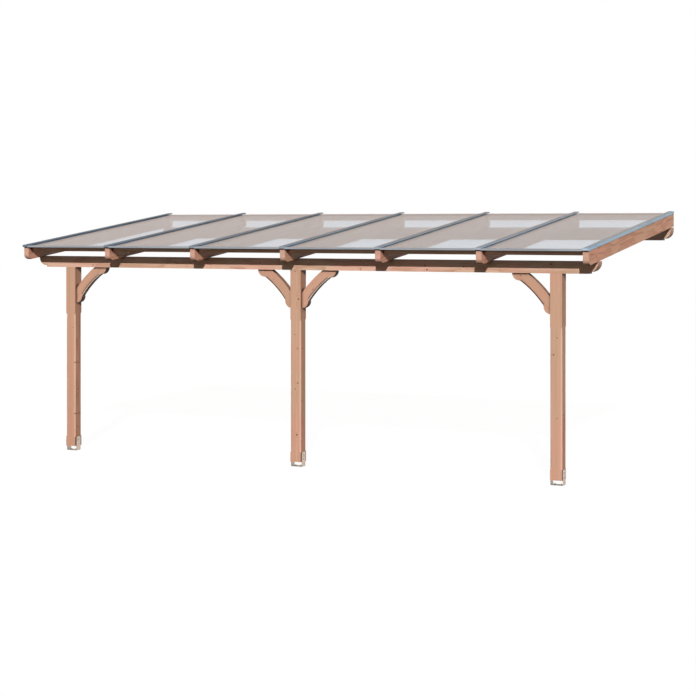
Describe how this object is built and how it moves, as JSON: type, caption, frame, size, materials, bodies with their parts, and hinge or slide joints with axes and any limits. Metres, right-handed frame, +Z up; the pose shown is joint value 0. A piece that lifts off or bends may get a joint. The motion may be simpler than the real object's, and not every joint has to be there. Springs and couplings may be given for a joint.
{
  "type": "attached patio cover",
  "caption": "Timber lean-to patio cover: chamfered posts with curved braces, rafters from a front purlin up to a wall purlin, clear roof sheets under aluminium rails.",
  "frame": {"origin": "centre of the wall purlin's back face, on the wall plane; the ground is 2.41 m below it", "axes": "+Z up, +X to the right as seen from the garden, +Y into the wall, so the roof falls towards -Y"},
  "size_m": [6.488, 3.026, 2.6547],
  "materials": {
    "timber": "planed glulam spruce with a tan stain, matt",
    "galvanised_steel": "hot-dip galvanised, dull",
    "aluminium": "mill-finish extrusion, satin",
    "clear_sheet": "clear, smooth",
    "seal_rubber": "matt black strip"
  },
  "bodies": {
    "root": {"post_left": "timber", "post_shoe_left": "galvanised_steel", "post_middle": "timber", "post_shoe_middle": "galvanised_steel", "post_right": "timber", "post_shoe_right": "galvanised_steel", "brace_left_post_right_side": "timber", "brace_middle_post_left_side": "timber", "brace_middle_post_right_side": "timber", "brace_right_post_left_side": "timber", "front_purlin": "timber", "wall_purlin": "timber", "rafter_1": "timber", "rafter_2": "timber", "rafter_3": "timber", "rafter_4": "timber", "rafter_5": "timber", "rafter_6": "timber", "rafter_7": "timber", "glazing_rail_1": "aluminium", "glazing_rail_2": "aluminium", "glazing_rail_3": "aluminium", "glazing_rail_4": "aluminium", "glazing_rail_5": "aluminium", "glazing_rail_6": "aluminium", "glazing_rail_7": "aluminium", "roof_sheet_1": "clear_sheet", "roof_sheet_2": "clear_sheet", "roof_sheet_3": "clear_sheet", "roof_sheet_4": "clear_sheet", "roof_sheet_5": "clear_sheet", "roof_sheet_6": "clear_sheet", "eaves_battens": "timber", "wall_battens": "timber", "rafter_gaskets": "seal_rubber", "batten_gaskets": "seal_rubber", "front_channels": "aluminium", "rear_channels": "aluminium"}
  },
  "joints": []
}
